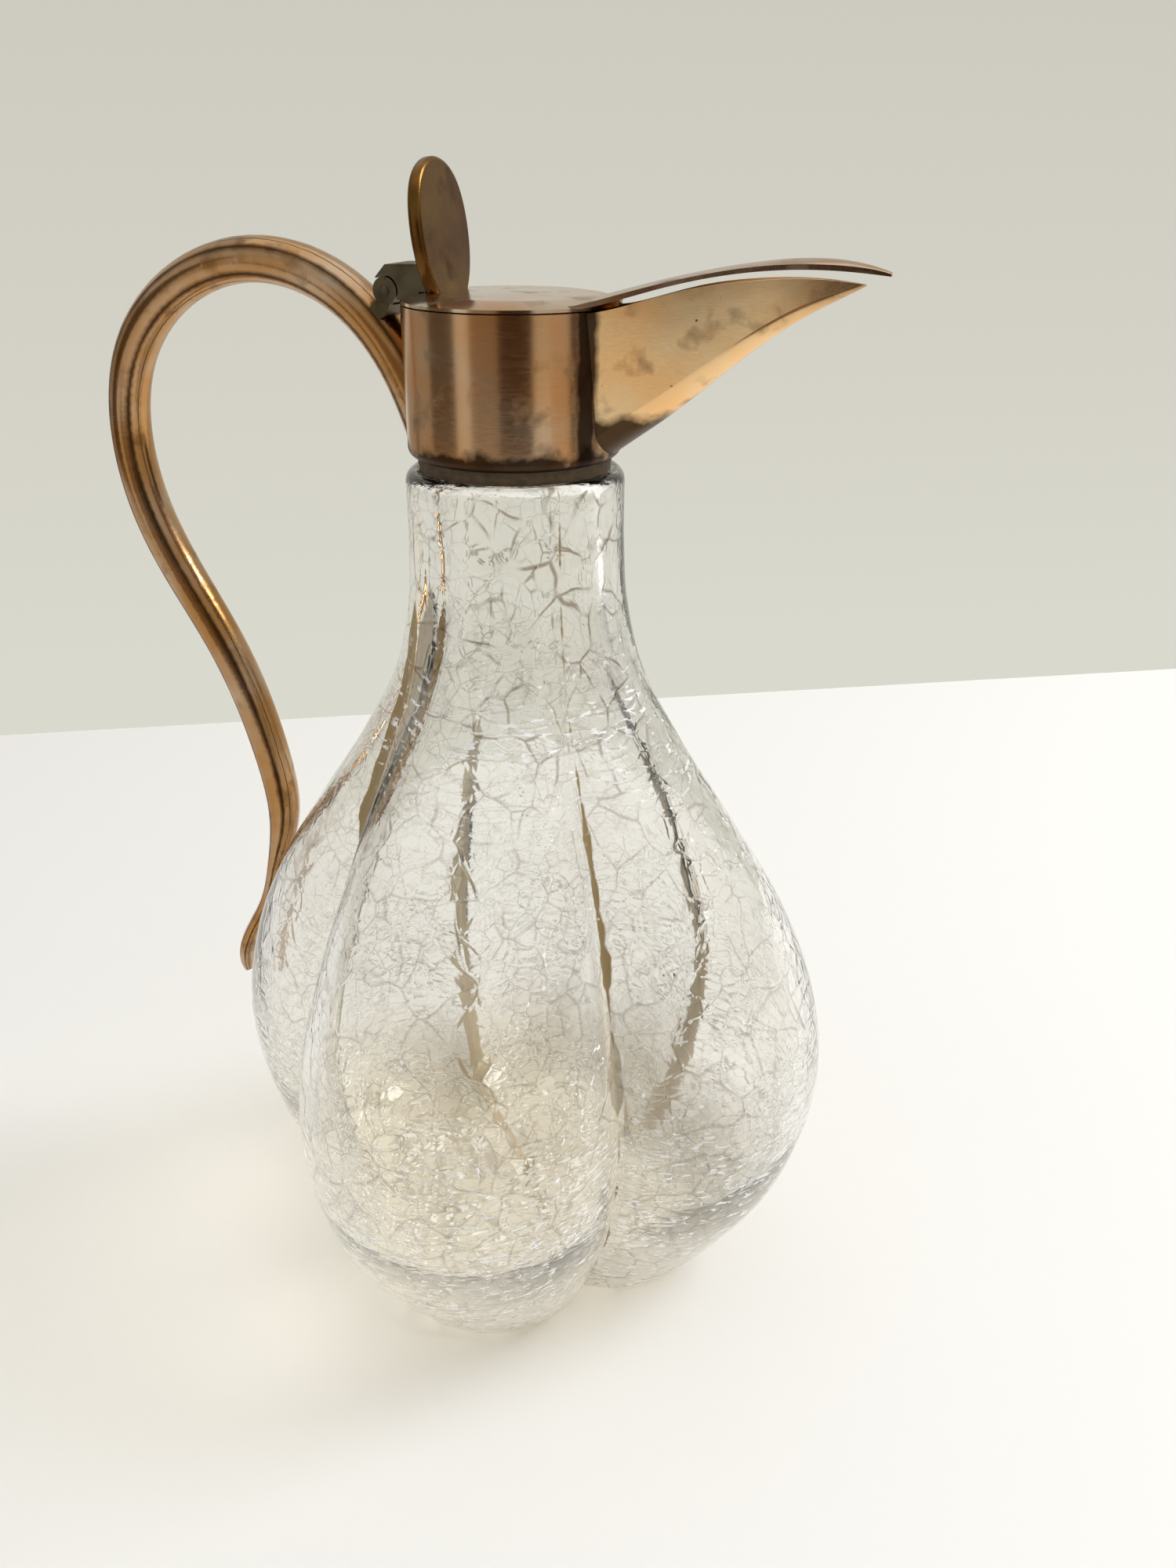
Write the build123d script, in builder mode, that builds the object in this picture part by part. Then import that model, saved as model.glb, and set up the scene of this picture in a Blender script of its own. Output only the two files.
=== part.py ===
# Lobed crackle-glass liqueur jug with a sheet-metal spout mount, loop handle and hinged beak lid.
# Millimetres, +Z up, origin on the vessel axis at the table face, spout towards +X, handle towards -X.
import os
from math import cos, radians, sin

from build123d import *

os.makedirs("parts", exist_ok=True)

# Glass vessel
neck_radius = 19.2
neck_straight = 11.6
shoulder_round = 2.2
stub_wall = 1.8
stub_height = 6.4
belly_radius = 62.5
floor_height = 8.0
floor_step = 5.6
floor_rise = 3.0
floor_rise_step = 0.9
wall_belly = 3.4
groove_depth = 0.283
groove_full_height = 76.0
groove_fade_height = 157.5
foot_radius = 39.6
body_stations = [
    # height, lobe radius: the foot, the belly and the neck each follow their own radius
    (0.0, foot_radius),
    (2.5, foot_radius + 2.0),
    (7.0, foot_radius + 5.3),
    (14.0, foot_radius + 10.0),
    (24.0, belly_radius - 6.8),
    (36.0, belly_radius - 2.4),
    (50.0, belly_radius),
    (66.0, belly_radius - 1.9),
    (84.0, belly_radius - 8.9),
    (102.0, belly_radius - 20.3),
    (118.0, neck_radius + 12.1),
    (132.0, neck_radius + 4.4),
    (146.0, neck_radius + 0.8),
    (158.0, neck_radius),
]
neck_foot = body_stations[-1][0]
shoulder_height = neck_foot + neck_straight
stub_top = shoulder_height + stub_height

# Collar
collar_setback = 0.75
collar_radius = neck_radius - collar_setback
collar_wall = 0.85
collar_lift = 2.3
collar_height = 24.3
collar_turn_in = 1.4
collar_bottom = shoulder_height + collar_lift
collar_top = collar_bottom + collar_height
collar_inner = collar_radius - collar_wall

# Plaster bedding between the glass stub and the collar
bedding_clearance = 0.15
bedding_seat = 0.05
bedding_lip = 0.8
bedding_room = 1.7
stub_radius = collar_inner - bedding_room
bore_radius = stub_radius - stub_wall
wall_neck = neck_radius - bore_radius

# Spout
sheet = 0.85
solder_gap = 0.05
spout_stations = [
    # out from the collar, keel above its top, half width at the bottom bend, bend height, half width at the rim
    (-4.95, -27.6, 7.0, 4.6, 10.2),
    (5.55, -19.2, 5.6, 4.4, 7.9),
    (16.55, -10.7, 3.9, 3.6, 5.5),
    (27.55, -2.2, 2.1, 2.4, 3.1),
    (35.55, 2.4, 1.0, 1.3, 1.35),
    (39.55, 4.5, 0.45, 0.35, 0.55),
]
spout_stock_height = 9.8
mouth_sill = 3.4
rim_points = [
    # out from the collar, above its top
    (-6.45, -0.3),
    (-0.45, 0.1),
    (5.55, 1.6),
    (13.55, 3.7),
    (21.55, 4.9),
    (29.55, 5.4),
    (35.55, 5.2),
    (41.55, 4.4),
]

# Lid plate
lid_gap = 0.25
lid_underside = collar_top + lid_gap
lid_edge_height = 0.5
lid_thickness = 1.45
lid_top = lid_underside + lid_thickness
lid_flat_radius = 13.9
lid_bevel_radius = 16.3
lid_bevel_drop = 0.38
lid_hollow_radius = 12.5
lid_sheet = 0.8

# Lid beak, which covers the spout and reaches past its tip
beak_sheet = 0.8
beak_stations = [
    # out from the collar, ridge and edge above the lid's top, half width
    (-7.45, -0.6, -1.2, 11.3),
    (0.05, 0.9, -0.5, 9.9),
    (6.55, 2.6, 1.3, 8.4),
    (13.55, 4.2, 3.1, 6.8),
    (22.55, 5.8, 4.6, 4.9),
    (31.55, 6.6, 5.1, 3.1),
    (38.55, 6.1, 4.8, 1.8),
    (43.25, 4.9, 4.3, 0.6),
]

# Hinge
hinge_set_back = 2.85
hinge_x = -(collar_radius + hinge_set_back)
hinge_z = lid_top
knuckle_radius = 2.2
pin_radius = 0.8
running_clearance = 0.05
hinge_half_width = 4.4
saddle_foot_half_width = 3.4
lid_knuckle_half_width = 2.0
side_clearance = 0.15
turning_clearance = 0.3
pin_proud = 0.2
arm_height = 4.1
arm_back = 1.6
arm_length = 9.3
arm_top = lid_top + arm_height
arm_rear = hinge_x - arm_back
arm_front = arm_rear + arm_length

# Thumbpiece
thumb_foot_gap = 2.0
thumb_x = arm_front + thumb_foot_gap
thumb_thickness = 2.3
thumb_foot_half = 5.7
thumb_half = 8.8
thumb_widest = 12.6
thumb_height = 20.4
thumb_lean = 6.5
thumb_round = 0.85

# Handle
# the bow hangs from the collar: out from its face, above its top
bow_points = [
    (-2.95, -23.7),
    (0.95, -13.6),
    (6.95, -4.4),
    (15.55, 2.2),
    (31.35, 5.6),
    (45.85, 1.8),
    (56.85, -8.2),
    (62.45, -26.2),
    (60.05, -41.7),
    (50.95, -58.8),
    (42.55, -78.5),
]
# the tail follows the belly: out from its widest radius, height above the table
tail_points = [
    (-6.3, 100.0),
    (-6.7, 90.5),
    (-5.1, 82.5),
    (-2.2, 74.5),
    (0.3, 67.0),
    (4.4, 60.0),
    (7.2, 53.8),
    (7.7, 47.8),
]
# share of the bow's length, half thickness in the bow's plane, half width across it
bow_sections = [
    (0.0, 4.2, 4.4),
    (0.06, 4.2, 4.4),
    (0.13, 4.1, 4.3),
    (0.22, 3.9, 4.15),
    (0.36, 3.85, 4.0),
    (0.50, 3.8, 4.0),
    (0.63, 3.7, 3.9),
    (0.74, 3.5, 3.8),
    (0.80, 3.0, 3.7),
    (0.85, 1.9, 3.4),
    (0.90, 1.5, 3.0),
    (0.95, 1.6, 2.8),
    (0.985, 1.4, 2.2),
    (1.0, 0.8, 1.2),
]


def blend(t):
    t = min(max(t, 0.0), 1.0)
    return t * t * (3 - 2 * t)


def groove_radius(height, lobe_radius):
    # the grooves are full depth on the belly and die out on the neck
    span = groove_fade_height - groove_full_height
    return lobe_radius * (1 - groove_depth * blend((groove_fade_height - height) / span))


def lobe_arcs(lobe_radius, valley_radius):
    # four arcs, each from one valley over a lobe to the next valley
    for turn in range(4):
        a = radians(90 * turn)
        h = radians(45)
        ThreePointArc(
            (valley_radius * cos(a - h), valley_radius * sin(a - h)),
            (lobe_radius * cos(a), lobe_radius * sin(a)),
            (valley_radius * cos(a + h), valley_radius * sin(a + h)),
        )


def wall_at(height):
    # thick glass at the neck, thinner where it was blown out
    return wall_belly + (wall_neck - wall_belly) * blend((height - 84.0) / 62.0)


# Glass vessel: this is the shape that takes most skill, four lobes that swell from a round neck
with BuildPart() as glass_vessel:
    for height, radius in body_stations:
        with BuildSketch(Plane.XY.offset(height)):
            with BuildLine():
                lobe_arcs(radius, groove_radius(height, radius))
            make_face()
    loft()
    with BuildSketch(Plane.XY.offset(neck_foot)):
        Circle(neck_radius)
    extrude(amount=neck_straight)
    fillet(glass_vessel.edges().filter_by(GeomType.CIRCLE).sort_by(Axis.Z)[-1], shoulder_round)
    with BuildSketch(Plane.XY.offset(shoulder_height)):
        Circle(stub_radius)
    extrude(amount=stub_height)
    fillet(glass_vessel.edges().filter_by(GeomType.CIRCLE).sort_by(Axis.Z)[-1], 0.6)
    # hollow inside
    with BuildSketch(Plane.XY.offset(floor_height)):
        with BuildLine():
            floor_lobe = foot_radius - floor_step
            lobe_arcs(floor_lobe, groove_radius(0, floor_lobe) + 1.0)
        make_face()
    with BuildSketch(Plane.XY.offset(floor_height + floor_rise)):
        with BuildLine():
            rise_lobe = foot_radius + floor_rise_step
            lobe_arcs(rise_lobe, groove_radius(0, rise_lobe))
        make_face()
    for height, radius in body_stations[4:-1]:
        inner = radius - wall_at(height) - (2.4 if height < 30 else 0.0)
        with BuildSketch(Plane.XY.offset(height)):
            with BuildLine():
                lobe_arcs(inner, groove_radius(height, radius) - wall_at(height) * 1.05)
            make_face()
    with BuildSketch(Plane.XY.offset(neck_foot)):
        with BuildLine():
            lobe_arcs(bore_radius, bore_radius)
        make_face()
    loft(mode=Mode.SUBTRACT)
    with BuildSketch(Plane.XY.offset(neck_foot - 0.5)):
        Circle(bore_radius)
    extrude(amount=stub_top - neck_foot + 1.0, mode=Mode.SUBTRACT)

# Plaster bedding ring, seen as a thin brown line under the collar
with BuildPart() as plaster_ring:
    inner = stub_radius + bedding_clearance
    outer = collar_inner - bedding_clearance
    seat = shoulder_height + bedding_seat
    with BuildSketch(Plane.XZ):
        with BuildLine():
            Polyline(
                (inner, seat),
                (inner + bedding_lip - 0.15, seat),
                (inner + bedding_lip, collar_bottom - 0.9),
                (inner + bedding_lip - 0.1, collar_bottom + 1.05),
                (outer, collar_bottom + 2.2),
                (outer, stub_top - 0.8),
                (inner, stub_top - 0.8),
                close=True,
            )
        make_face()
    revolve(axis=Axis.Z)

# Outer and inner stock of the spout, used for the spout itself and for the mouth in the collar


def trough_lines(station, inset):
    out, keel, bend_half, bend, rim_half = station
    half_low = max(bend_half - inset, 0.12)
    half_top = max(rim_half - inset, 0.16)
    low = collar_top + keel + inset * 1.3
    top = collar_top + spout_stock_height
    ThreePointArc((-half_low, low + bend), (0, low), (half_low, low + bend))
    Line((half_low, low + bend), (half_top, top))
    Line((half_top, top), (-half_top, top))
    Line((-half_top, top), (-half_low, low + bend))


def upright_at(out):
    # a plane that stands across the spout, its distance measured from the collar
    return Plane((collar_radius + out, 0, 0), x_dir=(0, 1, 0), z_dir=(1, 0, 0))


with BuildPart() as trough_stock:
    for station in spout_stations:
        with BuildSketch(upright_at(station[0])):
            with BuildLine():
                trough_lines(station, 0)
            make_face()
    loft()

with BuildPart() as channel_stock:
    for station in spout_stations[:-1]:
        with BuildSketch(upright_at(station[0])):
            with BuildLine():
                trough_lines(station, sheet)
            make_face()
    loft()

with BuildPart() as above_rim:
    with BuildSketch(Plane.XZ):
        with BuildLine():
            rim = Spline(*[(collar_radius + out, collar_top + up) for out, up in rim_points])
            above = collar_top + 20
            Polyline(rim @ 1, ((rim @ 1).X, above), ((rim @ 0).X, above), rim @ 0)
        make_face()
    extrude(amount=20, both=True)

# Spout: a long folded beak of sheet, open on top
with BuildPart() as spout:
    add(trough_stock.part)
    add(channel_stock.part, mode=Mode.SUBTRACT)
    add(above_rim.part, mode=Mode.SUBTRACT)
    with BuildSketch(Plane.XY.offset(collar_bottom - 20)):
        Circle(collar_radius + solder_gap)
    extrude(amount=collar_height + 40, mode=Mode.SUBTRACT)

# The mouth in the collar is the spout's channel above a sill
with BuildPart() as mouth_stock:
    add(channel_stock.part)
    with BuildSketch(Plane.XY.offset(collar_bottom + mouth_sill)):
        Rectangle(6 * collar_radius, 2 * collar_radius)
    extrude(amount=-2 * collar_height, mode=Mode.SUBTRACT)

# Collar: a plain band turned in at the foot, open to the spout in front
with BuildPart() as collar:
    with BuildSketch(Plane.XZ):
        with BuildLine():
            foot = collar_bottom
            turn = collar_turn_in
            Line((collar_radius, collar_top), (collar_radius, foot + turn))
            ThreePointArc(
                (collar_radius, foot + turn),
                (collar_radius - 0.3 * turn, foot + 0.3 * turn),
                (collar_radius - turn, foot),
            )
            Line((collar_radius - turn, foot), (collar_radius - turn, foot + collar_wall))
            ThreePointArc(
                (collar_radius - turn, foot + collar_wall),
                (collar_inner - 0.15 * turn, foot + collar_wall + 0.12 * turn),
                (collar_inner, foot + collar_wall + 0.4 * turn),
            )
            Line((collar_inner, foot + collar_wall + 0.4 * turn), (collar_inner, collar_top))
            Line((collar_inner, collar_top), (collar_radius, collar_top))
        make_face()
    revolve(axis=Axis.Z)
    add(mouth_stock.part, mode=Mode.SUBTRACT)

# Handle: an oval bar bent in a long scroll, its foot flattened along the glass
with BuildPart() as handle:
    with BuildLine() as bow:
        bow_route = [(-collar_radius - out, 0, collar_top + up) for out, up in bow_points]
        tail_route = [(-belly_radius - out, 0, height) for out, height in tail_points]
        Spline(*bow_route, *tail_route)
    for share, thick, wide in bow_sections:
        place = Plane(bow.line @ share, x_dir=(0, 1, 0), z_dir=bow.line % share)
        with BuildSketch(place):
            Ellipse(wide, thick)
    loft()
    with BuildSketch(Plane.XY.offset(collar_bottom - 20)):
        Circle(collar_radius + solder_gap)
    extrude(amount=collar_height + 40, mode=Mode.SUBTRACT)

# Hinge saddle: the two lower knuckles on a block soldered to the top of the handle
with BuildPart() as hinge_saddle:
    with BuildSketch(Plane.XZ):
        with BuildLine():
            Polyline(
                (hinge_x, hinge_z),
                (hinge_x - 1.7, hinge_z - 1.4),
                (hinge_x - 3.9, hinge_z - 3.1),
                (hinge_x - 3.4, hinge_z - 5.4),
                (hinge_x - 0.7, hinge_z - 4.2),
                (hinge_x + 0.4, hinge_z - 2.1),
                close=True,
            )
        make_face()
    extrude(amount=saddle_foot_half_width, both=True)
    with BuildSketch(Plane.XZ):
        with Locations((hinge_x, hinge_z)):
            Circle(knuckle_radius)
    extrude(amount=hinge_half_width, both=True)
    add(handle.part, mode=Mode.SUBTRACT)
    with BuildSketch(Plane.XZ):
        with Locations((hinge_x, hinge_z)):
            Circle(knuckle_radius + turning_clearance)
    extrude(amount=lid_knuckle_half_width + side_clearance, both=True, mode=Mode.SUBTRACT)
    with BuildSketch(Plane.XZ):
        with Locations((hinge_x, hinge_z)):
            Circle(pin_radius + running_clearance)
    extrude(amount=hinge_half_width + 1, both=True, mode=Mode.SUBTRACT)

# Hinge pin
with BuildPart() as hinge_pin:
    with BuildSketch(Plane.XZ):
        with Locations((hinge_x, hinge_z)):
            Circle(pin_radius)
    extrude(amount=hinge_half_width + pin_proud, both=True)
    chamfer(hinge_pin.edges().filter_by(GeomType.CIRCLE), 0.15)

# Lid plate: a flat disc with a sloping rim, hollow under the flat
with BuildPart() as lid_plate:
    with BuildSketch(Plane.XZ):
        with BuildLine():
            Line((0, lid_top), (lid_flat_radius, lid_top))
            ThreePointArc(
                (lid_flat_radius, lid_top),
                (lid_bevel_radius, lid_top - lid_bevel_drop),
                (collar_radius, lid_underside + lid_edge_height),
            )
            Polyline(
                (collar_radius, lid_underside + lid_edge_height),
                (collar_radius, lid_underside),
                (lid_hollow_radius + 1.0, lid_underside),
                (lid_hollow_radius, lid_top - lid_sheet),
                (0, lid_top - lid_sheet),
                (0, lid_top),
            )
        make_face()
    revolve(axis=Axis.Z)

# Lid beak: an arched strip that runs out over the spout
with BuildPart() as lid_beak:
    for out, ridge, edge, half in beak_stations:
        with BuildSketch(upright_at(out)):
            with BuildLine():
                lip = min(beak_sheet, (ridge - edge) * 0.6)
                low = lid_top + edge
                high = lid_top + ridge
                Line((half, low), (half, low + lip))
                ThreePointArc((half, low + lip), (0, high), (-half, low + lip))
                Line((-half, low + lip), (-half, low))
                ThreePointArc((-half, low), (0, high - lip), (half, low))
            make_face()
    loft()
    with BuildSketch(Plane.XZ):
        with BuildLine():
            below = lid_underside - 5
            Polyline((0, below), (0, lid_top), (lid_flat_radius, lid_top), (lid_flat_radius, below), close=True)
        make_face()
    revolve(axis=Axis.Z, mode=Mode.SUBTRACT)
    with BuildSketch(Plane.XZ):
        with BuildLine():
            core = lid_flat_radius - 4
            Line((core, below), (core, lid_top))
            Line((core, lid_top), (lid_flat_radius, lid_top))
            ThreePointArc(
                (lid_flat_radius, lid_top),
                (lid_bevel_radius, lid_top - lid_bevel_drop),
                (collar_radius, lid_underside + lid_edge_height),
            )
            Line((collar_radius, lid_underside + lid_edge_height), (collar_radius, below))
            Line((collar_radius, below), (core, below))
        make_face()
    revolve(axis=Axis.Z, mode=Mode.SUBTRACT)

# Lid arm: the upper half of the hinge, a flat-topped block over the lower knuckles
with BuildPart() as lid_arm:
    with BuildSketch(Plane.XZ):
        with BuildLine():
            Polyline(
                (arm_front, lid_underside),
                (arm_front, arm_top + 0.2),
                (arm_rear + 1.9, arm_top),
                (arm_rear, arm_top - 2.0),
                (arm_rear, hinge_z + 1.6),
                (hinge_x + 1.6, hinge_z + 0.4),
                (hinge_x + 2.4, lid_underside),
                close=True,
            )
        make_face()
    extrude(amount=hinge_half_width, both=True)
    with BuildSketch(Plane.XZ):
        with Locations((hinge_x, hinge_z)):
            Circle(knuckle_radius + turning_clearance)
    extrude(amount=hinge_half_width + 1, both=True, mode=Mode.SUBTRACT)
    with BuildSketch(Plane.XZ):
        with Locations((hinge_x, hinge_z)):
            Circle(knuckle_radius)
        with BuildLine():
            Polyline(
                (hinge_x, hinge_z),
                (hinge_x - 1.0, hinge_z + 3.0),
                (hinge_x + 3.6, hinge_z + 3.0),
                (hinge_x + 3.2, hinge_z + 0.4),
                close=True,
            )
        make_face()
    extrude(amount=lid_knuckle_half_width, both=True)
    with BuildSketch(Plane.XZ):
        with Locations((hinge_x, hinge_z)):
            Circle(pin_radius + running_clearance)
    extrude(amount=hinge_half_width + 1, both=True, mode=Mode.SUBTRACT)
    add(lid_plate.part, mode=Mode.SUBTRACT)
    with BuildSketch(Plane.XY.offset(below)):
        Circle(lid_flat_radius + 1.6)
    extrude(amount=lid_top - below, mode=Mode.SUBTRACT)

# Thumbpiece: an upright leaf that stands across the lid and leans to the handle
with BuildPart() as thumbpiece:
    lean = radians(thumb_lean)
    upright = Plane((thumb_x, 0, lid_top), x_dir=(0, 1, 0), z_dir=(cos(lean), 0, sin(lean)))
    with BuildSketch(upright):
        with BuildLine():
            shoulder = (thumb_half * 0.72, thumb_height * 0.87)
            leaf_edge = Spline(
                (thumb_foot_half, -0.6),
                (thumb_half, thumb_widest),
                shoulder,
                (0, thumb_height),
                (-shoulder[0], shoulder[1]),
                (-thumb_half, thumb_widest),
                (-thumb_foot_half, -0.6),
            )
            Line(leaf_edge @ 1, leaf_edge @ 0)
        make_face()
    extrude(amount=thumb_thickness / 2, both=True)
    fillet(thumbpiece.edges().filter_by(GeomType.BSPLINE), thumb_round)
    with BuildSketch(Plane.XY.offset(lid_top - 5)):
        Rectangle(60, 60)
    extrude(amount=5, mode=Mode.SUBTRACT)
    add(lid_arm.part, mode=Mode.SUBTRACT)

for name, piece in (
    ("glass_vessel", glass_vessel),
    ("plaster_ring", plaster_ring),
    ("collar", collar),
    ("spout", spout),
    ("handle", handle),
    ("hinge_saddle", hinge_saddle),
    ("hinge_pin", hinge_pin),
    ("lid_plate", lid_plate),
    ("lid_beak", lid_beak),
    ("lid_arm", lid_arm),
    ("thumbpiece", thumbpiece),
):
    piece.part.label = name
    export_step(piece.part, f"parts/{name}.step")
    box = piece.part.bounding_box()
    print(name, len(piece.part.solids()), round(piece.part.volume), box.min, box.max)
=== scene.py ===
# Lobed crackle-glass liqueur jug with a worn plated mount, dressed for a still life on a pale table.
from math import cos, pi, radians, sin

import bpy
import numpy as np
from mathutils import Matrix, Vector


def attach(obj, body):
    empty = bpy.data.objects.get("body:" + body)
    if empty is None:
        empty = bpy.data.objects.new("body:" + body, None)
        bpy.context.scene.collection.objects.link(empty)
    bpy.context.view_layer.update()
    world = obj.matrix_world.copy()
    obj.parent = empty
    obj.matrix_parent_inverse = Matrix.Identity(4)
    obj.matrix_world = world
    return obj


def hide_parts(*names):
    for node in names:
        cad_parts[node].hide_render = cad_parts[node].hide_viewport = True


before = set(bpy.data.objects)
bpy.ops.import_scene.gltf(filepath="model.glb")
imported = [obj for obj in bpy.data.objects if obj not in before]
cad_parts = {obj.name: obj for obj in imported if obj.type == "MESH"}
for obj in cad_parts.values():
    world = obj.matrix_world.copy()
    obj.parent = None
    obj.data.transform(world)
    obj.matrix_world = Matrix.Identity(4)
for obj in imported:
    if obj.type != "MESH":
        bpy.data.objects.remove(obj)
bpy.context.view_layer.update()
MM = 0.001

# Camera: a 29 mm lens held a little above the lid, looking down at the front of the jug
CAMERA_AT = (0.08926, -0.20766, 0.21761)
CAMERA_RIGHT = (0.93925, 0.34321, 0.00342)
CAMERA_UP = (-0.15334, 0.41068, 0.89880)
LENS = 29.355
SENSOR = 36.0
NEAREST_SEEN = 0.01

# Glass vessel in mm, the same stations as the solid: height and lobe radius
NECK_RADIUS = 19.2
BORE_RADIUS = 14.1
NECK_FOOT = 158.0
SHOULDER_HEIGHT = 169.6
SHOULDER_ROUND = 2.2
STUB_RADIUS = 15.9
STUB_TOP = 176.0
FLOOR_HEIGHT = 8.0
GROOVE_DEPTH = 0.283
GROOVE_FULL_HEIGHT = 76.0
GROOVE_TOP = 157.5
BODY_STATIONS = (
    (0.0, 39.6),
    (2.5, 41.6),
    (7.0, 44.9),
    (14.0, 49.6),
    (24.0, 55.7),
    (36.0, 60.1),
    (50.0, 62.5),
    (66.0, 60.6),
    (84.0, 53.6),
    (102.0, 42.2),
    (118.0, 31.3),
    (132.0, 23.6),
    (146.0, 20.0),
    (NECK_FOOT, NECK_RADIUS),
)

# The wall grows thicker from above the belly to the neck, and is a little thicker at the grooves
WALL_BELLY = 3.4
WALL_NECK = NECK_RADIUS - BORE_RADIUS
WALL_GROWS_FROM = 84.0
WALL_GROWS_OVER = 62.0
GROOVE_WALL = 1.15

# Inside of the lobes: height and radius
INNER_STATIONS = (
    (FLOOR_HEIGHT + 0.4, 30.0),
    (FLOOR_HEIGHT + 3.0, 38.5),
    (16.0, 44.6),
    (24.0, 55.7 - WALL_BELLY - 2.4),
    (36.0, 60.1 - WALL_BELLY),
    (50.0, 62.5 - WALL_BELLY),
    (66.0, 60.6 - WALL_BELLY),
    (84.0, 53.6 - WALL_BELLY),
    (102.0, 42.2 - 3.77),
    (118.0, 31.3 - 4.31),
    (132.0, 23.6 - 4.80),
    (146.0, 20.0 - WALL_NECK),
    (NECK_FOOT, BORE_RADIUS),
)

# Rings under the foot, from the middle of its shallow hollow out to its rounded edge: radius and height
FOOT_RINGS = (
    (6.0, 1.4),
    (14.0, 1.3),
    (24.0, 1.0),
    (32.0, 0.5),
    (36.0, 0.1),
    (38.2, 0.0),
    (39.4, 0.35),
    (40.1, 1.0),
)

# Rings of the stub that the collar hides, over its lip and down into the bore: radius and height
STUB_RINGS = (
    (STUB_RADIUS + 0.2, SHOULDER_HEIGHT),
    (STUB_RADIUS, SHOULDER_HEIGHT + 0.2),
    (STUB_RADIUS, STUB_TOP - 0.6),
    (STUB_RADIUS - 0.2, STUB_TOP - 0.15),
    (STUB_RADIUS - 0.6, STUB_TOP),
    (BORE_RADIUS + 0.3, STUB_TOP),
    (BORE_RADIUS, STUB_TOP - 0.3),
    (BORE_RADIUS, SHOULDER_HEIGHT),
)

# Radii of the flat floor's rings. On the floor, and inside up to this height, the grooves come in to at least
# this share of the lobe radius
FLOOR_RADII = (26.0, 18.0, 10.0, 4.0)
FLOOR_GROOVE = 0.8
FLOOR_GROOVES_END = 20.0

# Fineness of the glass mesh: points round a ring, mm between rings, first height outside and last inside,
# rings up the neck and over its shoulder, and how many points either way the inner grooves are rounded
COLUMNS = 272
ROW_STEP = 1.0
FIRST_ROW = 2.0
LAST_INNER_ROW = FLOOR_HEIGHT + 0.45
NECK_ROWS = 8
SHOULDER_ROWS = 8
INNER_ROUNDING = 3

# Drink dried in the grooves: direction of the groove in degrees, half width of the stain in mm, its lowest
# and highest point in mm, and whether it is on the inside of the glass
GROOVE_STAINS = (
    (135, 1.7, 2, 116, True),
    (45, 1.2, 40, 116, True),
    (45, 2.9, 6, 64, True),
    (-135, 2.2, 98, 150, True),
    (-135, 2.2, 100, 150, False),
    (-45, 2.4, 56, 76, True),
    (-45, 0.55, 70, 124, False),
    (-45, 1.3, 82, 93, False),
)
STAIN_TAPER = 10.0
FAR_FROM_STAINS = -9.0

# Width in mm of the cells between wide cracks, between fine cracks and between the level wrinkles
WIDE_CELLS = 8.0
FINE_CELLS = 3.8
WRINKLE_CELLS = 4.2
SODA_LIME_IOR = 1.5

# Where each side of the spout is soldered to the collar, in mm, and how far its tarnish reaches
SPOUT_SEAM = (16.4, 8.7)
SEAM_REACH = 1.6

# Table and wall in metres. The table's back edge runs through these two points
TABLE_EDGE = ((-0.3102, 0.1691, 0.0), (0.1572, 0.4282, 0.0))
TABLE_PAST_EDGE = 2.0
TABLE_DEPTH = 3.0
WALL_BEHIND = 0.9
WALL_FOOT = -1.5
WALL_TOP = 2.5

# Reflection cards: first and last bearing in degrees, from the camera's own, and colour
REFLECTION_CARDS = (
    ("far_left_room", -150, -95, "#A89C8C"),
    ("left_room", -95, -62, "#5E5040"),
    ("left_door", -62, -45, "#D8D0C4"),
    ("middle_room", -45, -15, "#907E6A"),
    ("dark_room", -15, 20, "#3A2618"),
    ("right_room", 38, 60, "#C5B6A4"),
    ("dark_door", 60, 100, "#4A3828"),
)

# Near and far end of each card from the middle of the jug, its lift off the table and the height of the
# upright part at its far end, all in metres, and the corners along each end
CARD_NEAR = 0.70
CARD_FAR = 2.0
CARD_LIFT = 0.004
CARD_RISER = 0.7
CARD_CORNERS = 5

# Lamps: place and the point they face in metres, width and length in metres, watts, colour
LAMPS = (
    ("window", (0.8, 0.45, 1.0), (0.0, 0.0, 0.1), (0.45, 0.55), 10.0, "#FFFFFF"),
    ("ceiling", (-0.1, 0.1, 1.4), (0.0, 0.1, 0.0), (1.6, 1.6), 4.0, "#FFFDF8"),
)
ROOM_COLOUR = "#F3F3F0"
ROOM_STRENGTH = 0.6


def linear(colour):
    """An sRGB hex colour as linear red, green, blue and alpha."""
    parts = [int(colour[i : i + 2], 16) / 255 for i in (1, 3, 5)]
    return tuple(p / 12.92 if p <= 0.04045 else ((p + 0.055) / 1.055) ** 2.4 for p in parts) + (1.0,)


def add(tree, kind, inputs=None, **settings):
    """Adds a node with its settings. An input is a value, a socket, or a node for its first socket in use."""
    made = tree.nodes.new("ShaderNode" + kind)
    for name, value in settings.items():
        setattr(made, name, value)
    for name, value in (inputs or {}).items():
        if isinstance(value, bpy.types.Node):
            value = next(socket for socket in value.outputs if socket.enabled)
        if isinstance(value, bpy.types.NodeSocket):
            tree.links.new(value, made.inputs[name])
        else:
            made.inputs[name].default_value = value
    return made


def new_material(name):
    """A material and its empty node tree."""
    made = bpy.data.materials.new(name)
    made.use_nodes = True
    made.node_tree.nodes.clear()
    return made, made.node_tree


def per_mm(size):
    """The texture scale whose pattern repeats about every `size` millimetres."""
    return 1000.0 / size


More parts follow.
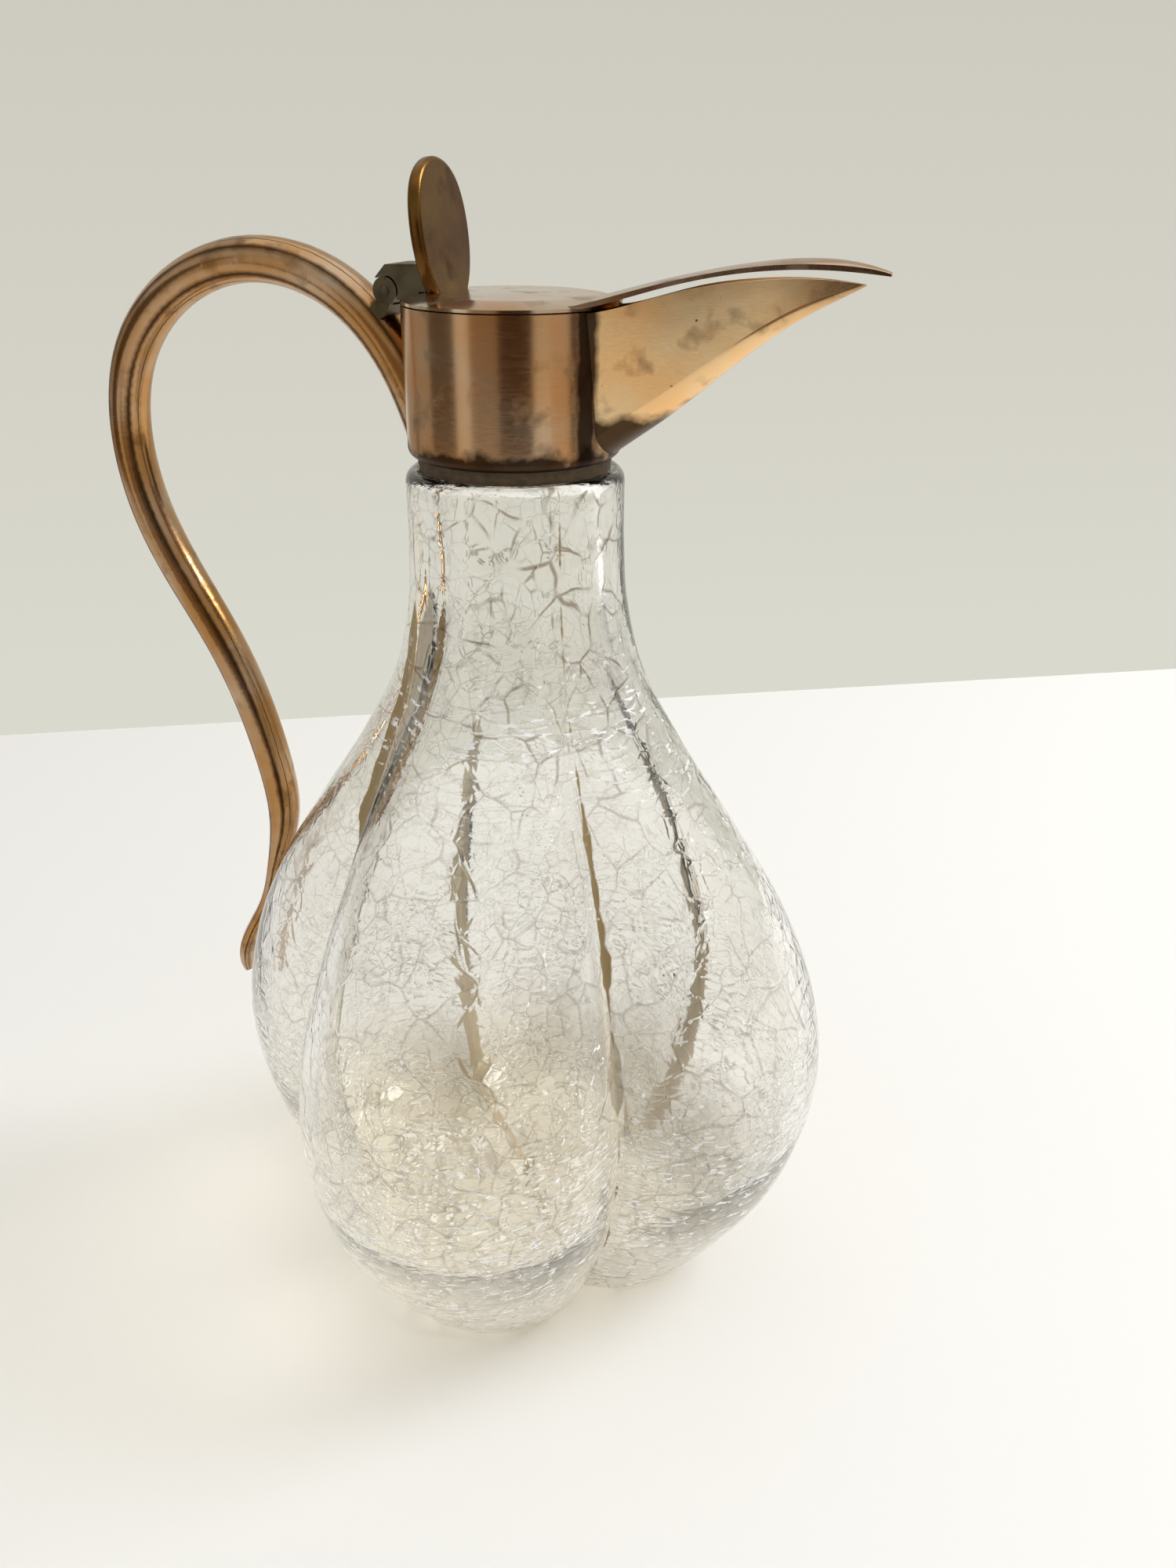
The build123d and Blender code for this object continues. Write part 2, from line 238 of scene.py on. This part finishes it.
def smooth_curve(points, at):
    """The radius at height `at`, read off a smooth curve through (height, radius) points."""
    x = np.array([p[0] for p in points])
    y = np.array([p[1] for p in points])
    slope = np.gradient(y, x)
    i = np.clip(np.searchsorted(x, at, side="right") - 1, 0, len(x) - 2)
    span = x[i + 1] - x[i]
    t = (at - x[i]) / span
    low = (2 * t**3 - 3 * t**2 + 1) * y[i] + (t**3 - 2 * t**2 + t) * span * slope[i]
    high = (-2 * t**3 + 3 * t**2) * y[i + 1] + (t**3 - t**2) * span * slope[i + 1]
    return low + high


def blend(t):
    """From 0 to 1 with soft ends."""
    t = np.clip(t, 0.0, 1.0)
    return t * t * (3 - 2 * t)


def groove_radius(height, lobe_radius):
    """How far out a groove lies: it is deep in the body and fades out up the neck."""
    span = GROOVE_TOP - GROOVE_FULL_HEIGHT
    return lobe_radius * (1 - GROOVE_DEPTH * blend((GROOVE_TOP - height) / span))


def wall_at(height):
    """Thickness of the glass at a height."""
    return WALL_BELLY + (WALL_NECK - WALL_BELLY) * blend((height - WALL_GROWS_FROM) / WALL_GROWS_OVER)


def lobed_row(height, lobe, valley):
    """One ring of the four-lobed section: each lobe is an arc from valley to valley."""
    angles = np.arange(COLUMNS) * 2 * pi / COLUMNS
    centre = (lobe**2 - valley**2) / (2 * (lobe - valley * cos(pi / 4)))
    arc = lobe - centre
    off_lobe = (angles + pi / 4) % (pi / 2) - pi / 4
    radius = centre * np.cos(off_lobe) + np.sqrt(arc**2 - (centre * np.sin(off_lobe)) ** 2)
    return np.stack([radius * np.cos(angles), radius * np.sin(angles), np.full_like(angles, height)], 1)


def softened(row, reach):
    """The ring with its valleys rounded over `reach` points either way, as molten glass leaves them."""
    radius = np.hypot(row[:, 0], row[:, 1])
    turns = range(-reach, reach + 1)
    smooth = sum(np.roll(radius, turn) for turn in turns) / len(turns)
    made = row * (smooth / radius)[:, None]
    made[:, 2] = row[:, 2]
    return made


def blown_mesh(name, rows):
    """An object from rings of points in mm, its two ends closed by a centre point, and all its points."""
    points = np.concatenate(rows + [rows[0].mean(0)[None], rows[-1].mean(0)[None]])
    foot_centre = len(rows) * COLUMNS
    floor_centre = foot_centre + 1
    last = foot_centre - COLUMNS
    faces = []
    for low in range(0, last, COLUMNS):
        high = low + COLUMNS
        for c in range(COLUMNS):
            d = (c + 1) % COLUMNS
            faces.append((low + c, low + d, high + d, high + c))
    for c in range(COLUMNS):
        d = (c + 1) % COLUMNS
        faces.append((foot_centre, d, c))
        faces.append((floor_centre, last + c, last + d))
    mesh = bpy.data.meshes.new(name)
    mesh.from_pydata((points * MM).tolist(), [], faces)
    mesh.validate()
    mesh.shade_smooth()
    made = bpy.data.objects.new(name, mesh)
    bpy.context.scene.collection.objects.link(made)
    return made, points


def layered(tree, ground, layers):
    """The colour `ground` with others laid over it in turn, each as far as its mask and its share say."""
    colour = linear(ground)
    for mask, share, over in layers:
        factor = add(tree, "Math", {0: mask, 1: share}, operation="MULTIPLY")
        colour = add(tree, "Mix", {"Factor": factor, "A": colour, "B": linear(over)}, data_type="RGBA")
    return colour


def ragged_edge(tree, place, patch, shift, value, start, full, detail=4.0):
    """0 where `value` is at `start`, 1 at `full`, the edge moved about by patches `patch` mm wide."""
    patches = add(tree, "TexNoise", {"Vector": place, "Scale": per_mm(patch), "Detail": detail})
    moved = add(tree, "Math", {0: patches, 1: shift, 2: value}, operation="MULTIPLY_ADD")
    return add(tree, "MapRange", {"Value": moved, "From Min": start, "From Max": full})


def wandering(tree, place, reach):
    """The place moved to and fro by up to about `reach` mm, so that what is drawn there runs crooked."""
    patches = add(tree, "TexNoise", {"Vector": place, "Scale": per_mm(9), "Detail": 1.5})
    shift = add(tree, "VectorMath", {0: patches.outputs["Color"], 1: (0.5, 0.5, 0.5)}, operation="SUBTRACT")
    shift = add(tree, "VectorMath", {0: shift, "Scale": reach * MM}, operation="SCALE")
    return add(tree, "VectorMath", {0: place, 1: shift}, operation="ADD")


def crack_net(tree, place, size, stretch):
    """Distance in mm from the edges of irregular cells `size` mm across, which `stretch` squeezes."""
    scaled = add(tree, "VectorMath", {0: place, 1: stretch}, operation="MULTIPLY")
    cells = {"Vector": scaled, "Scale": per_mm(size), "Randomness": 1.0}
    edges = add(tree, "TexVoronoi", cells, feature="DISTANCE_TO_EDGE")
    return add(tree, "Math", {0: edges, 1: size}, operation="MULTIPLY")


def cracks(tree, net, reach, core, *masks):
    """The lines of a net: 1 within `core` mm, 0 beyond `reach` mm, and only as far as the masks say."""
    shown = add(tree, "MapRange", {"Value": net, "From Min": reach, "From Max": core})
    for mask in masks:
        shown = add(tree, "Math", {0: shown, 1: mask}, operation="MULTIPLY")
    return shown


def dried_drink(tree, place):
    """Where brown drink dried in the grooves: the mesh says how far, patches make its edge ragged."""
    stain = add(tree, "Attribute", attribute_name="stain", attribute_type="GEOMETRY").outputs["Fac"]
    return ragged_edge(tree, place, 6, 2.2, stain, 1.00, 1.25, detail=3.0)


def finish_glass(tree, tint, roughness, clear, bump, shade):
    """Soda-lime glass. Lamps shine through it on to the table, tinted by `shade`."""
    surface = add(
        tree,
        "BsdfPrincipled",
        {
            "Base Color": tint,
            "Roughness": roughness,
            "IOR": SODA_LIME_IOR,
            "Transmission Weight": clear,
            "Normal": bump,
        },
    )
    passed = add(tree, "BsdfTransparent", {"Color": shade})
    lamp = add(tree, "LightPath").outputs["Is Shadow Ray"]
    both = add(tree, "MixShader", {0: lamp, 1: surface, 2: passed})
    add(tree, "OutputMaterial", {"Surface": both})


# Old blown soda-lime glass, dipped hot in water so that its skin crazed, then blown on. The cracks are thin
# walls under the skin: most go dark and brownish, and short pieces of a few are painted white as glints.
def crackled_skin():
    material, tree = new_material("crackled soda-lime glass")
    place = add(tree, "TexCoord").outputs["Object"]
    height = add(tree, "SeparateXYZ", {"Vector": place}).outputs["Z"]
    bent = wandering(tree, place, 4.0)
    rolling = wandering(tree, place, 2.2)
    wide = crack_net(tree, bent, WIDE_CELLS, (1.0, 1.0, 0.9))
    fine = crack_net(tree, bent, FINE_CELLS, (1.0, 1.0, 1.2))
    level = crack_net(tree, rolling, WRINKLE_CELLS, (0.34, 0.34, 1.9))
    # wide cracks and fine ones lie in patches of their own, which overlap a little
    patch = add(tree, "TexNoise", {"Vector": place, "Scale": per_mm(13), "Detail": 2.0})
    deep = add(tree, "MapRange", {"Value": patch, "From Min": 0.34, "From Max": 0.50})
    shallow = add(tree, "MapRange", {"Value": patch, "From Min": 0.60, "From Max": 0.46})
    # blown out widest, the foot and the shoulders of the lobes are crazed in level wrinkles
    low_down = add(tree, "MapRange", {"Value": height, "From Min": 76 * MM, "From Max": 44 * MM})
    above_waist = add(tree, "MapRange", {"Value": height, "From Min": 108 * MM, "From Max": 118 * MM})
    below_neck = add(tree, "MapRange", {"Value": height, "From Min": 144 * MM, "From Max": 130 * MM})
    shoulder = add(tree, "MapRange", {"Value": patch, "From Min": 0.42, "From Max": 0.56})
    for mask in (above_waist, below_neck):
        shoulder = add(tree, "Math", {0: shoulder, 1: mask}, operation="MULTIPLY")
    wrinkled = add(tree, "Math", {0: low_down, 1: shoulder}, operation="MAXIMUM")
    # a crack closes up and opens again along its way, and is deepest and brownest in the thick neck
    openings = add(tree, "TexNoise", {"Vector": place, "Scale": per_mm(5), "Detail": 1.0})
    open_here = add(tree, "MapRange", {"Value": openings, "From Min": 0.34, "From Max": 0.54})
    up_neck = {"Value": height, "From Min": 110 * MM, "From Max": 140 * MM, "To Min": 0.5}
    depth = add(tree, "MapRange", up_neck)
    wide_line = cracks(tree, wide, 0.30, 0.09, deep, open_here, depth)
    fine_line = cracks(tree, fine, 0.16, 0.048, shallow, open_here)
    level_line = cracks(tree, level, 0.30, 0.09, wrinkled)
    # painted glints: short pieces of crack painted white at random, many in the wrinkles, where a crack's
    # wall would face a lamp
    glints = add(tree, "TexNoise", {"Vector": place, "Scale": per_mm(1.6), "Detail": 2.0})
    glints = add(tree, "MapRange", {"Value": glints, "From Min": 0.60, "From Max": 0.66})
    bright = add(tree, "MapRange", {"Value": patch, "From Min": 0.56, "From Max": 0.44})
    flat = add(tree, "VectorMath", {0: place, 1: (0.5, 0.5, 1.5)}, operation="MULTIPLY")
    dashes = add(tree, "TexNoise", {"Vector": flat, "Scale": per_mm(1.2), "Detail": 2.0})
    dashes = add(tree, "MapRange", {"Value": dashes, "From Min": 0.54, "From Max": 0.60})
    bright = cracks(tree, fine, 0.34, 0.102, glints, bright)
    dashes = cracks(tree, level, 0.70, 0.21, dashes, wrinkled)
    painted_glints = add(tree, "Math", {0: bright, 1: dashes}, operation="MAXIMUM")
    stained = dried_drink(tree, place)
    specks = add(tree, "TexVoronoi", {"Vector": place, "Scale": per_mm(17)}, feature="F1")
    specks = add(tree, "MapRange", {"Value": specks, "From Min": 0.030, "From Max": 0.022})
    thick_foot = add(tree, "MapRange", {"Value": height, "From Min": 32 * MM, "From Max": 12 * MM})
    layers = (
        (thick_foot, 0.5, "#DDD4C0"),
        (fine_line, 0.5, "#7A6E5C"),
        (level_line, 0.4, "#9A9282"),
        (wide_line, 0.9, "#6A4C26"),
        (stained, 1.0, "#8E7648"),
        (painted_glints, 1.0, "#FFFFFF"),
        (specks, 1.0, "#1C140E"),
    )
    # the painted glints are opaque white; glass under a wrinkle scatters a little light, and the crazed foot
    # and a stain much
    milky = painted_glints
    for mask, share in ((wrinkled, 0.12), (thick_foot, 0.8), (stained, 0.75)):
        haze = add(tree, "Math", {0: mask, 1: share}, operation="MULTIPLY")
        milky = add(tree, "Math", {0: milky, 1: haze}, operation="MAXIMUM")
    clear = add(tree, "Math", {0: 1.0, 1: milky}, operation="SUBTRACT")
    # every crack is a fine groove in a skin that swells and sinks a little
    groove = cracks(tree, wide, 0.6, 0.0, deep)
    for other in (cracks(tree, level, 0.8, 0.0, wrinkled), cracks(tree, fine, 0.4, 0.0, shallow, 0.7)):
        groove = add(tree, "Math", {0: groove, 1: other}, operation="MAXIMUM")
    swell = add(tree, "TexNoise", {"Vector": bent, "Scale": per_mm(8), "Detail": 2.0})
    relief = add(tree, "Math", {0: groove, 1: -0.9, 2: swell}, operation="MULTIPLY_ADD")
    bump = add(tree, "Bump", {"Height": relief, "Strength": 0.5, "Distance": 0.06 * MM})
    rough = add(tree, "MapRange", {"Value": stained, "To Min": 0.015, "To Max": 0.4})
    shading = wide_line
    for other in (level_line, stained):
        shading = add(tree, "Math", {0: shading, 1: other}, operation="MAXIMUM")
    shade = layered(tree, "#ECEAE4", ((shading, 1.0, "#CCC4B4"),))
    finish_glass(tree, layered(tree, "#FCFBF8", layers), rough, clear, bump, shade)
    return material


# The inside of the same glass is smooth. Drink has dried in its grooves to a tan, half clear crust
def smooth_inside():
    material, tree = new_material("smooth glass with dried drink")
    place = add(tree, "TexCoord").outputs["Object"]
    stained = dried_drink(tree, place)
    tint = layered(tree, "#FDFDFB", ((stained, 1.0, "#B9A88A"),))
    clear = add(tree, "MapRange", {"Value": stained, "To Min": 1.0, "To Max": 0.5})
    rough = add(tree, "MapRange", {"Value": stained, "To Min": 0.01, "To Max": 0.5})
    swell = add(tree, "TexNoise", {"Vector": place, "Scale": per_mm(12), "Detail": 2.0})
    bump = add(tree, "Bump", {"Height": swell, "Strength": 0.3, "Distance": 0.3 * MM})
    shade = layered(tree, "#F6F5F2", ((stained, 1.0, "#B8AA90"),))
    finish_glass(tree, tint, rough, clear, bump, shade)
    return material


def dark_seam(tree, place, seam, reach):
    """Darker within `reach` mm of an upright seam at x, y mm, on both sides of the jug."""
    parts = add(tree, "SeparateXYZ", {"Vector": place})
    side = add(tree, "Math", {0: parts.outputs["Y"]}, operation="ABSOLUTE")
    flat = add(tree, "CombineXYZ", {"X": parts.outputs["X"], "Y": side})
    at = (seam[0] * MM, seam[1] * MM, 0.0)
    away = add(tree, "VectorMath", {0: flat, 1: at}, operation="DISTANCE")
    return ragged_edge(tree, place, 4, 1.6 * MM, away, (reach + 1.5) * MM, (reach + 0.5) * MM)


def dark_foot(tree, place, height, fade):
    """Darker below `height` mm, ragged, gone `fade` mm above it."""
    level = add(tree, "SeparateXYZ", {"Vector": place}).outputs["Z"]
    return ragged_edge(tree, place, 5, -7.0 * MM, level, (height + fade - 3.5) * MM, (height - 3.5) * MM)


def painted_tip_shade(tree, place, start, full):
    """Painted shade towards the tip of the spout, from none at `start` mm out to three fifths at `full` mm.
    """
    out = add(tree, "SeparateXYZ", {"Vector": place}).outputs["X"]
    tip = ragged_edge(tree, place, 6, 14.0 * MM, out, (start + 7) * MM, (full + 7) * MM)
    return add(tree, "Math", {0: tip, 1: 0.6}, operation="MULTIPLY")


def painted_shade_streaks(tree, place, across, reach):
    """Painted shade in two streaks along a round rod, where it faces `across` away from the jug's middle
    plane.
    """
    facing = add(tree, "TexCoord").outputs["Normal"]
    sideways = add(tree, "SeparateXYZ", {"Vector": facing}).outputs["Y"]
    off = add(tree, "Math", {0: sideways, 1: -across}, operation="SUBTRACT")
    off = add(tree, "Math", {0: off}, operation="ABSOLUTE")
    return ragged_edge(tree, place, 5, 0.8 * reach, off, 1.4 * reach, 0.5 * reach)


# Silver plate worn through to the copper-brass under it: greyer where plate is left, golden rose where it
# is gone, and darker in the places given: at seams and feet, and as painted shade at the spout's tip and on
# the handle's sides
def worn_plate(name, plate, metal, dark, worn_at, rubbed, roughness, dark_places=()):
    material, tree = new_material(name)
    place = add(tree, "TexCoord").outputs["Object"]
    worn = add(tree, "TexNoise", {"Vector": place, "Scale": per_mm(16), "Detail": 4.0})
    worn = add(tree, "MapRange", {"Value": worn, "From Min": worn_at - 0.12, "From Max": worn_at + 0.12})
    # stains of old polish, and pin-head spots
    stains = add(tree, "TexNoise", {"Vector": place, "Scale": per_mm(6), "Detail": 5.0})
    stains = add(tree, "MapRange", {"Value": stains, "From Min": 0.56, "From Max": 0.74})
    spots = add(tree, "TexNoise", {"Vector": place, "Scale": per_mm(1.3), "Detail": 1.0})
    spots = add(tree, "MapRange", {"Value": spots, "From Min": 0.79, "From Max": 0.84})
    layers = [(worn, 1.0, metal), (stains, 0.55, dark), (spots, 0.8, dark)]
    stains_and_shade = stains
    # darker places, some of them painted shade, at the spout's tip and down the handle's sides
    for kind, where, reach in dark_places:
        here = kind(tree, place, where, reach)
        layers.append((here, 0.93, dark))
        stains_and_shade = add(tree, "Math", {0: stains_and_shade, 1: here}, operation="MAXIMUM")
    # marks of years of rubbing, a grain of a tenth of a millimetre, drawn three times coarser to show
    along = add(tree, "VectorMath", {0: place, 1: rubbed}, operation="MULTIPLY")
    grain = add(tree, "TexNoise", {"Vector": along, "Scale": per_mm(0.3), "Detail": 3.0})
    rough = add(tree, "Math", {0: stains_and_shade, 1: 0.22, 2: roughness - 0.05}, operation="MULTIPLY_ADD")
    rough = add(tree, "Math", {0: grain, 1: 0.12, 2: rough}, operation="MULTIPLY_ADD")
    dents = add(tree, "TexNoise", {"Vector": place, "Scale": per_mm(9), "Detail": 2.0})
    relief = add(tree, "Math", {0: grain, 1: 0.05, 2: dents}, operation="MULTIPLY_ADD")
    bump = add(tree, "Bump", {"Height": relief, "Strength": 0.35, "Distance": 0.08 * MM})
    colour = layered(tree, plate, layers)
    metal_look = {"Base Color": colour, "Metallic": 1.0, "Roughness": rough, "Normal": bump}
    surface = add(tree, "BsdfPrincipled", metal_look)
    add(tree, "OutputMaterial", {"Surface": surface})
    return material


# Gypsum plaster that beds the collar, cast wet and browned by drink: dull, crumbly
def stained_plaster():
    material, tree = new_material("stained gypsum plaster")
    place = add(tree, "TexCoord").outputs["Object"]
    crumbs = add(tree, "TexNoise", {"Vector": place, "Scale": per_mm(1.5), "Detail": 5.0})
    colour = layered(tree, "#2A2014", ((crumbs, 1.0, "#6E5A40"),))
    bump = add(tree, "Bump", {"Height": crumbs, "Strength": 0.6, "Distance": 0.3 * MM})
    surface = add(tree, "BsdfPrincipled", {"Base Color": colour, "Roughness": 0.9, "Normal": bump})
    add(tree, "OutputMaterial", {"Surface": surface})
    return material


# Table top in brushed eggshell paint: nearly white, with no more than a soft sheen
def painted_table():
    material, tree = new_material("pale painted table")
    surface = add(tree, "BsdfPrincipled", {"Base Color": linear("#EFEEEC"), "Roughness": 0.55})
    add(tree, "OutputMaterial", {"Surface": surface})
    return material


# Far wall in matt paint, out of the lamps' reach: it glows evenly, a little paler towards the table
def far_wall():
    material, tree = new_material("evenly lit wall")
    place = add(tree, "TexCoord").outputs["Object"]
    height = add(tree, "SeparateXYZ", {"Vector": place}).outputs["Z"]
    up = add(tree, "MapRange", {"Value": height, "From Min": -0.3, "From Max": 0.45})
    glow = add(tree, "Emission", {"Color": layered(tree, "#DAD9CE", ((up, 1.0, "#CCC8BD"),))})
    add(tree, "OutputMaterial", {"Surface": glow})
    return material


# Plain card that glows in one colour, so that its mirror image is even
def glowing_card(name, colour):
    material, tree = new_material(name)
    glow = add(tree, "Emission", {"Color": linear(colour)})
    add(tree, "OutputMaterial", {"Surface": glow})
    return material


def glass_rings():
    """Rings of the outside, from the foot over the stub into the bore, and of the inside to the floor."""
    outer = [lobed_row(height, radius, radius * (1 - GROOVE_DEPTH)) for radius, height in FOOT_RINGS]
    for height in np.arange(FIRST_ROW, NECK_FOOT, ROW_STEP):
        radius = float(smooth_curve(BODY_STATIONS, height))
        outer.append(lobed_row(height, radius, groove_radius(height, radius)))
    for height in np.linspace(NECK_FOOT, SHOULDER_HEIGHT - SHOULDER_ROUND, NECK_ROWS):
        outer.append(lobed_row(height, NECK_RADIUS, NECK_RADIUS))
    for turn in np.linspace(0, pi / 2, SHOULDER_ROWS + 1)[1:]:
        radius = NECK_RADIUS - SHOULDER_ROUND * (1 - cos(turn))
        height = SHOULDER_HEIGHT - SHOULDER_ROUND * (1 - sin(turn))
        outer.append(lobed_row(height, radius, radius))
    for radius, height in STUB_RINGS:
        outer.append(lobed_row(height, radius, radius))
    inner = []
    for height in np.arange(NECK_FOOT, LAST_INNER_ROW, -ROW_STEP):
        radius = float(smooth_curve(INNER_STATIONS, height))
        outside = float(smooth_curve(BODY_STATIONS, height))
        valley = groove_radius(height, outside) - wall_at(height) * GROOVE_WALL
        deepest = FLOOR_GROOVE if height < FLOOR_GROOVES_END else 1.0
        valley = min(valley, deepest * radius)
        inner.append(softened(lobed_row(height, radius, valley), INNER_ROUNDING))
    for radius in FLOOR_RADII:
        inner.append(lobed_row(FLOOR_HEIGHT, radius, radius * FLOOR_GROOVE))
    return outer, inner


def stain_at(points, inside):
    """How far each point lies within the stain of a groove, in mm along the wall, negative outside it."""
    angle = np.arctan2(points[:, 1], points[:, 0])
    radius = np.hypot(points[:, 0], points[:, 1])
    height = points[:, 2]
    stain = np.full(len(points), FAR_FROM_STAINS)
    for groove, half_width, low, high, on_inside in GROOVE_STAINS:
        off = (angle - radians(groove) + pi) % (2 * pi) - pi
        taper = min(STAIN_TAPER, (high - low) / 3)
        ends = blend((height - low) / taper) * blend((high - height) / taper)
        here = half_width * ends - np.abs(off) * radius
        stain = np.where(inside == on_inside, np.maximum(stain, here), stain)
    return stain.astype(np.float32)


# Glass vessel, in place of its solid: the same stations, with inner grooves rounded as blowing leaves them,
# and its stains kept on its points
def glass_vessel():
    outer, inner = glass_rings()
    made, points = blown_mesh("glass_vessel_blown", outer + inner)
    inside = np.arange(len(points)) >= len(outer) * COLUMNS
    layer = made.data.attributes.new("stain", "FLOAT", "POINT")
    layer.data.foreach_set("value", stain_at(points, inside))
    made.data.materials.append(crackled_skin())
    made.data.materials.append(smooth_inside())
    first_inside = (len(outer) - 1) * COLUMNS
    last_ring = (len(outer) + len(inner) - 1) * COLUMNS
    for face in made.data.polygons[first_inside:last_ring]:
        face.material_index = 1
    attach(made, "jug")
    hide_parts("glass_vessel")


def dress(material, *nodes):
    """Gives the solids of these nodes their finish."""
    for node in nodes:
        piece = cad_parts[node]
        piece.data.materials.clear()
        piece.data.materials.append(material)


# Metal mount and its plaster bed keep the shapes of their solids. `rubbed` draws the grain out the way that
# a cloth goes: round the collar and the spout, across the lid and its beak, up and down the handle and the
# thumbpiece
def metal_mount():
    seam = (dark_seam, SPOUT_SEAM, SEAM_REACH)
    collar_plate = worn_plate(
        "worn silver plate on copper",
        plate="#CBB092",
        metal="#CE9F6E",
        dark="#24140A",
        worn_at=0.44,
        rubbed=(0.15, 0.15, 1.0),
        roughness=0.18,
        dark_places=(seam, (dark_foot, 173.6, 1.6)),
    )
    # the spout's plate and metal are paler than the collar's: painted light, for the bright table that the
    # spout mirrors
    spout_plate = worn_plate(
        "spout plate with painted light",
        plate="#EACB9C",
        metal="#EEBC80",
        dark="#2A180C",
        worn_at=0.46,
        rubbed=(0.3, 0.3, 1.0),
        roughness=0.17,
        # painted shade towards the spout's tip
        dark_places=(seam, (dark_foot, 178.5, 2.5), (painted_tip_shade, 44, 62)),
    )
    lid_plating = worn_plate(
        "rubbed plate on the lid",
        plate="#D8CBB8",
        metal="#CFA882",
        dark="#3A2618",
        worn_at=0.5,
        rubbed=(1.0, 0.3, 1.0),
        roughness=0.15,
    )
    # the beak's plate and metal are darker than the lid's: painted shade, for the darker room that the beak
    # mirrors
    beak_plating = worn_plate(
        "beak plate with painted shade",
        plate="#CBB6A2",
        metal="#B8926E",
        dark="#3A2618",
        worn_at=0.5,
        rubbed=(1.0, 0.3, 1.0),
        roughness=0.18,
    )
    handle_plate = worn_plate(
        "plate worn off the handle",
        plate="#C4A88A",
        metal="#B38552",
        dark="#43280F",
        worn_at=0.46,
        rubbed=(1.0, 1.0, 0.25),
        roughness=0.18,
        # painted shade in streaks down the handle's sides
        dark_places=((painted_shade_streaks, 0.80, 0.12), (painted_shade_streaks, 0.45, 0.035)),
    )
    tarnished_brass = worn_plate(
        "dull tarnished brass",
        plate="#6E6A58",
        metal="#5A4F3A",
        dark="#1E1A12",
        worn_at=0.5,
        rubbed=(1.0, 1.0, 1.0),
        roughness=0.42,
    )
    thumb_brass = worn_plate(
        "handled brass",
        plate="#7A5A2C",
        metal="#583614",
        dark="#1E1208",
        worn_at=0.45,
        rubbed=(1.0, 1.0, 0.4),
        roughness=0.26,
    )
    dress(collar_plate, "collar")
    dress(spout_plate, "spout")
    dress(lid_plating, "lid_plate")
    dress(beak_plating, "lid_beak")
    dress(handle_plate, "handle")
    dress(tarnished_brass, "hinge_saddle", "hinge_pin", "lid_arm")
    dress(thumb_brass, "thumbpiece")
    dress(stained_plaster(), "plaster_ring")


def sheet(name, corners, material):
    """A flat sheet of the surroundings."""
    mesh = bpy.data.meshes.new(name)
    mesh.from_pydata([tuple(c) for c in corners], [], [tuple(range(len(corners)))])
    made = bpy.data.objects.new(name, mesh)
    bpy.context.scene.collection.objects.link(made)
    made.data.materials.append(material)
    return made


# Table and far wall: plain and pale. The table's back edge shows behind the neck
def stage():
    back_left = Vector(TABLE_EDGE[0])
    back_right = Vector(TABLE_EDGE[1])
    along = (back_right - back_left).normalized()
    forward = Vector((along.y, -along.x, 0))
    left = back_left - along * TABLE_PAST_EDGE
    right = back_right + along * TABLE_PAST_EDGE
    near = forward * TABLE_DEPTH
    sheet("table", (left, left + near, right + near, right), painted_table())
    drop = Vector((0, 0, WALL_FOOT)) - forward * WALL_BEHIND
    lift = Vector((0, 0, WALL_TOP)) - forward * WALL_BEHIND
    sheet("wall", (left + drop, right + drop, right + lift, left + lift), far_wall())


# Light and dark cards that only the metal and the gloss of the glass mirror, as polished metal mirrors what
# stands in front of it. Each is a wedge on the table, round the jug, with an upright part at its far end
def reflection_cards():
    bearing = np.degrees(np.arctan2(CAMERA_AT[1], CAMERA_AT[0]))
    for name, start, stop, colour in REFLECTION_CARDS:
        sides = [radians(bearing + turn) for turn in np.linspace(start, stop, CARD_CORNERS)]
        near = [Vector((CARD_NEAR * cos(a), CARD_NEAR * sin(a), CARD_LIFT)) for a in sides]
        far = [Vector((CARD_FAR * cos(a), CARD_FAR * sin(a), CARD_LIFT)) for a in reversed(sides)]
        raised = [corner + Vector((0, 0, CARD_RISER)) for corner in reversed(far)]
        glow = glowing_card(name, colour)
        for card in (sheet(name, near + far, glow), sheet(name + "_riser", far + raised, glow)):
            card.visible_camera = False
            card.visible_diffuse = False
            card.visible_transmission = False
            card.visible_shadow = False


def lights():
    """Even light from all round, and two soft lamps."""
    world = bpy.data.worlds.new("room")
    bpy.context.scene.world = world
    world.use_nodes = True
    tree = world.node_tree
    tree.nodes.clear()
    even = add(tree, "Background", {"Color": linear(ROOM_COLOUR), "Strength": ROOM_STRENGTH})
    add(tree, "OutputWorld", {"Surface": even})
    for name, at, towards, size, power, colour in LAMPS:
        light = bpy.data.lights.new(name, "AREA")
        light.shape = "RECTANGLE"
        light.size, light.size_y = size
        light.energy = power
        light.color = linear(colour)[:3]
        made = bpy.data.objects.new(name, light)
        made.location = at
        made.rotation_euler = (Vector(towards) - Vector(at)).to_track_quat("-Z", "Y").to_euler()
        bpy.context.scene.collection.objects.link(made)


def camera():
    """The photograph's view."""
    made = bpy.data.objects.new("camera", bpy.data.cameras.new("camera"))
    bpy.context.scene.collection.objects.link(made)
    right = Vector(CAMERA_RIGHT).normalized()
    up = Vector(CAMERA_UP).normalized()
    back = right.cross(up)
    turn = Matrix((right, up, back)).transposed().to_4x4()
    made.matrix_world = Matrix.Translation(Vector(CAMERA_AT)) @ turn
    made.data.lens = LENS
    made.data.sensor_width = SENSOR
    made.data.sensor_fit = "AUTO"
    made.data.clip_start = NEAREST_SEEN
    bpy.context.scene.camera = made
    # colours come out as they are, without a film look
    bpy.context.scene.view_settings.view_transform = "Standard"


camera()
stage()
reflection_cards()
lights()
glass_vessel()
metal_mount()
